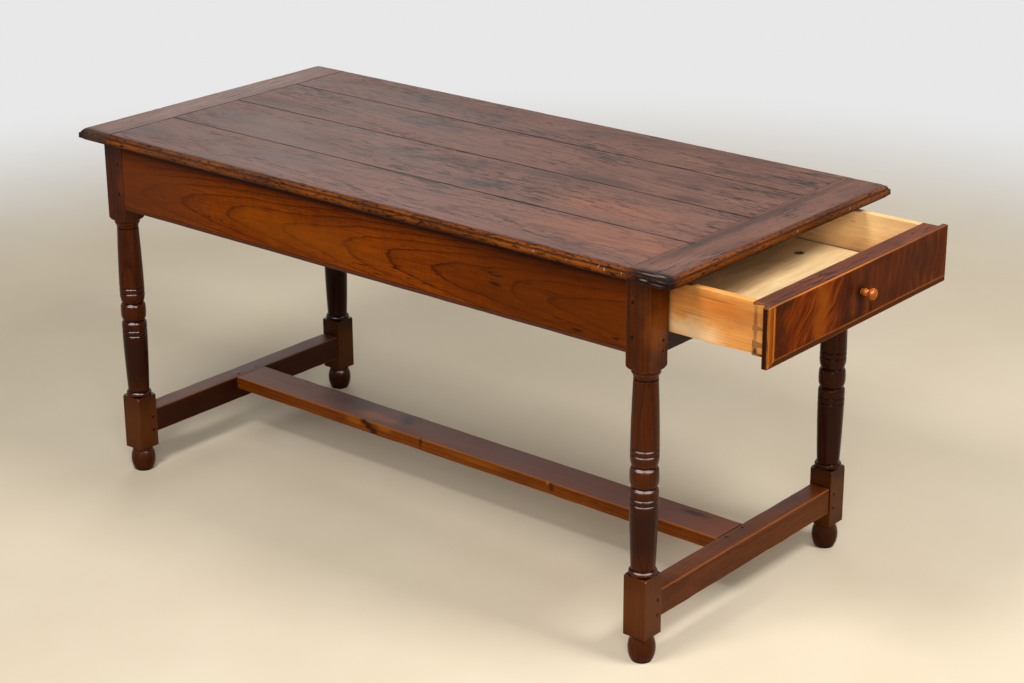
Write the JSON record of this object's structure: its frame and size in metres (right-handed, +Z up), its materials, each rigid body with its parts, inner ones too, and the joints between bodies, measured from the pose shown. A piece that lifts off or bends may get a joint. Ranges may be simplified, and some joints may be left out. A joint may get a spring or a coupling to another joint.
{
  "type": "farmhouse table",
  "caption": "Long wooden table: plank top with breadboard ends and moulded edge, turned legs on an H stretcher, and a lipped, veneered drawer that slides out of one end.",
  "frame": {"origin": "on the floor, midway between the four feet", "axes": "+X along the table towards the end with the drawer, +Y across to the far side, +Z up"},
  "size_m": [1.7118, 0.712, 0.765],
  "materials": {
    "walnut_top": "worn satin wax",
    "walnut_frame": "polished and worn",
    "peg_wood": "polished",
    "hidden_pine": "bare sawn wood",
    "drawer_pine": "bare planed wood",
    "front_walnut": "satin wax",
    "figured_walnut": "polished veneer",
    "banding": "polished veneer",
    "stringing": "polished inlay",
    "fruitwood": "polished",
    "iron": "dark rusted"
  },
  "bodies": {
    "table": {"top_board_near": "walnut_top", "top_board_inner_near": "walnut_top", "top_board_inner_far": "walnut_top", "top_board_far": "walnut_top", "breadboard_drawer_end": "walnut_top", "breadboard_blind_end": "walnut_top", "leg_drawer_end_near": "walnut_frame", "leg_drawer_end_far": "walnut_frame", "leg_blind_end_near": "walnut_frame", "leg_blind_end_far": "walnut_frame", "side_rail_near": "walnut_frame", "side_rail_far": "walnut_frame", "end_rail": "walnut_frame", "drawer_rail": "walnut_frame", "end_stretcher_drawer_end": "walnut_frame", "end_stretcher_blind_end": "walnut_frame", "long_stretcher": "walnut_frame", "breadboard_pegs": "peg_wood", "bearer_pegs": "peg_wood", "side_rail_pegs": "peg_wood", "end_rail_pegs": "peg_wood", "drawer_rail_pegs": "peg_wood", "end_stretcher_pegs": "peg_wood", "long_stretcher_pegs": "peg_wood", "upper_rail": "hidden_pine", "top_bearer_front": "hidden_pine", "top_bearer_rear": "hidden_pine", "glue_blocks": "hidden_pine", "drawer_runner_near": "hidden_pine", "drawer_runner_far": "hidden_pine", "drawer_guide_near": "hidden_pine", "drawer_guide_far": "hidden_pine", "drawer_kicker_near": "hidden_pine", "drawer_kicker_far": "hidden_pine", "runner_nails": "iron", "guide_nails": "iron", "kicker_nails": "iron"},
    "drawer": {"drawer_front": "front_walnut", "front_veneer": "figured_walnut", "end_band": "banding", "bottom_band": "banding", "stringing": "stringing", "drawer_knob": "fruitwood", "drawer_side_near": "drawer_pine", "drawer_side_far": "drawer_pine", "drawer_back": "drawer_pine", "drawer_bottom_front": "drawer_pine", "drawer_bottom_rear": "drawer_pine", "drawer_bottom_nails": "iron"}
  },
  "joints": [
    {"name": "drawer_slide", "type": "slide", "parent": "table", "child": "drawer", "axis": [1, 0, 0], "range_m": [-0.2017, 0.2]}
  ]
}
